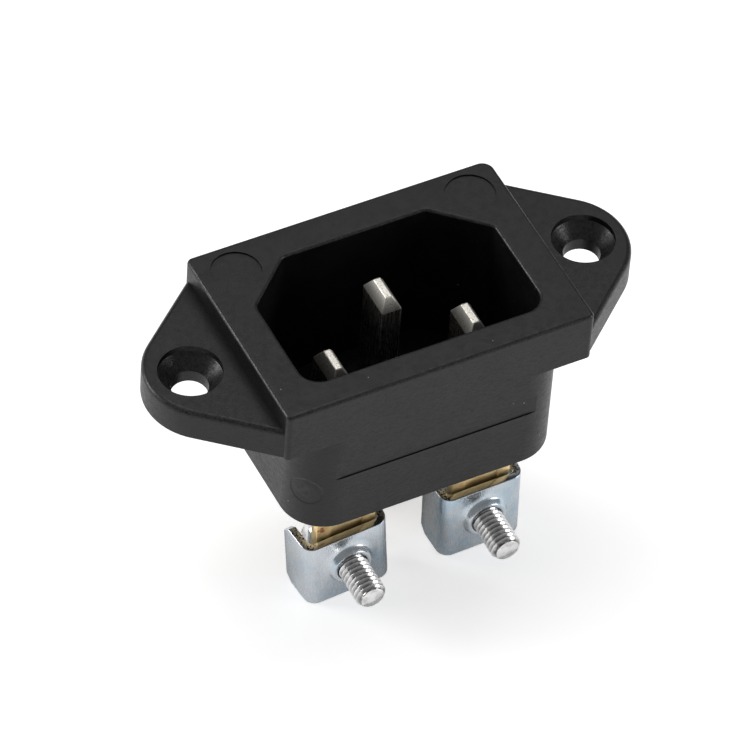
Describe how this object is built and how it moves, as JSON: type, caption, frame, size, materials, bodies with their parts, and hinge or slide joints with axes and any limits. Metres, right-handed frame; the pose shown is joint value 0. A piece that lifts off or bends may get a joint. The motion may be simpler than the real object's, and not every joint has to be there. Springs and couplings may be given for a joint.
{
  "type": "c14 panel inlet socket",
  "caption": "Panel power inlet with two countersunk ears, a deep plug recess, flat pins and screw terminals with steel yoke nuts.",
  "frame": {"origin": "on the mounting plane, the rear face of the ears, midway between the two fixing holes", "axes": "+X along the ears, +Y towards the side with the cut recess corners and the earth pin, +Z out of the panel towards the plug"},
  "size_m": [0.0484, 0.0253, 0.0308],
  "materials": {
    "black_plastic": "satin, fine moulded grain",
    "nickel": "nickel plated, satin",
    "brass": "plain brass strip",
    "zinc": "bright zinc plated steel, slightly blue",
    "screw_zinc": "bright zinc plated steel"
  },
  "bodies": {
    "base": {"housing": "black_plastic", "line_pin": "nickel", "neutral_pin": "nickel", "earth_pin": "nickel", "line_tab": "brass", "neutral_tab": "brass", "earth_tab": "brass", "line_yoke": "zinc", "neutral_yoke": "zinc", "earth_yoke": "zinc"},
    "line_plate": {"line_clamp_plate": "zinc"},
    "neutral_plate": {"neutral_clamp_plate": "zinc"},
    "earth_plate": {"earth_clamp_plate": "zinc"},
    "line_screw": {"line_screw": "screw_zinc"},
    "neutral_screw": {"neutral_screw": "screw_zinc"},
    "earth_screw": {"earth_screw": "screw_zinc"}
  },
  "joints": [
    {"name": "line_clamp", "type": "slide", "parent": "base", "child": "line_plate", "axis": [0, 1, 0], "range_m": [0, 0.0025]},
    {"name": "line_turn", "type": "hinge", "parent": "line_plate", "child": "line_screw", "pos_m": [-0.007, -0.0054, -0.0203], "axis": [0, 1, 0], "range_deg": [0, 1800]},
    {"name": "neutral_clamp", "type": "slide", "parent": "base", "child": "neutral_plate", "axis": [0, 1, 0], "range_m": [0, 0.0025]},
    {"name": "neutral_turn", "type": "hinge", "parent": "neutral_plate", "child": "neutral_screw", "pos_m": [0.007, -0.0054, -0.0203], "axis": [0, 1, 0], "range_deg": [0, 1800]},
    {"name": "earth_clamp", "type": "slide", "parent": "base", "child": "earth_plate", "axis": [0, -1, 0], "range_m": [0, 0.0025]},
    {"name": "earth_turn", "type": "hinge", "parent": "earth_plate", "child": "earth_screw", "pos_m": [0, 0.0039, -0.0203], "axis": [0, -1, 0], "range_deg": [0, 1800]}
  ],
  "couplings": [
    {"joint": "line_turn", "follows": "line_clamp", "rad_per_m": 12566},
    {"joint": "neutral_turn", "follows": "neutral_clamp", "rad_per_m": 12566},
    {"joint": "earth_turn", "follows": "earth_clamp", "rad_per_m": 12566}
  ]
}
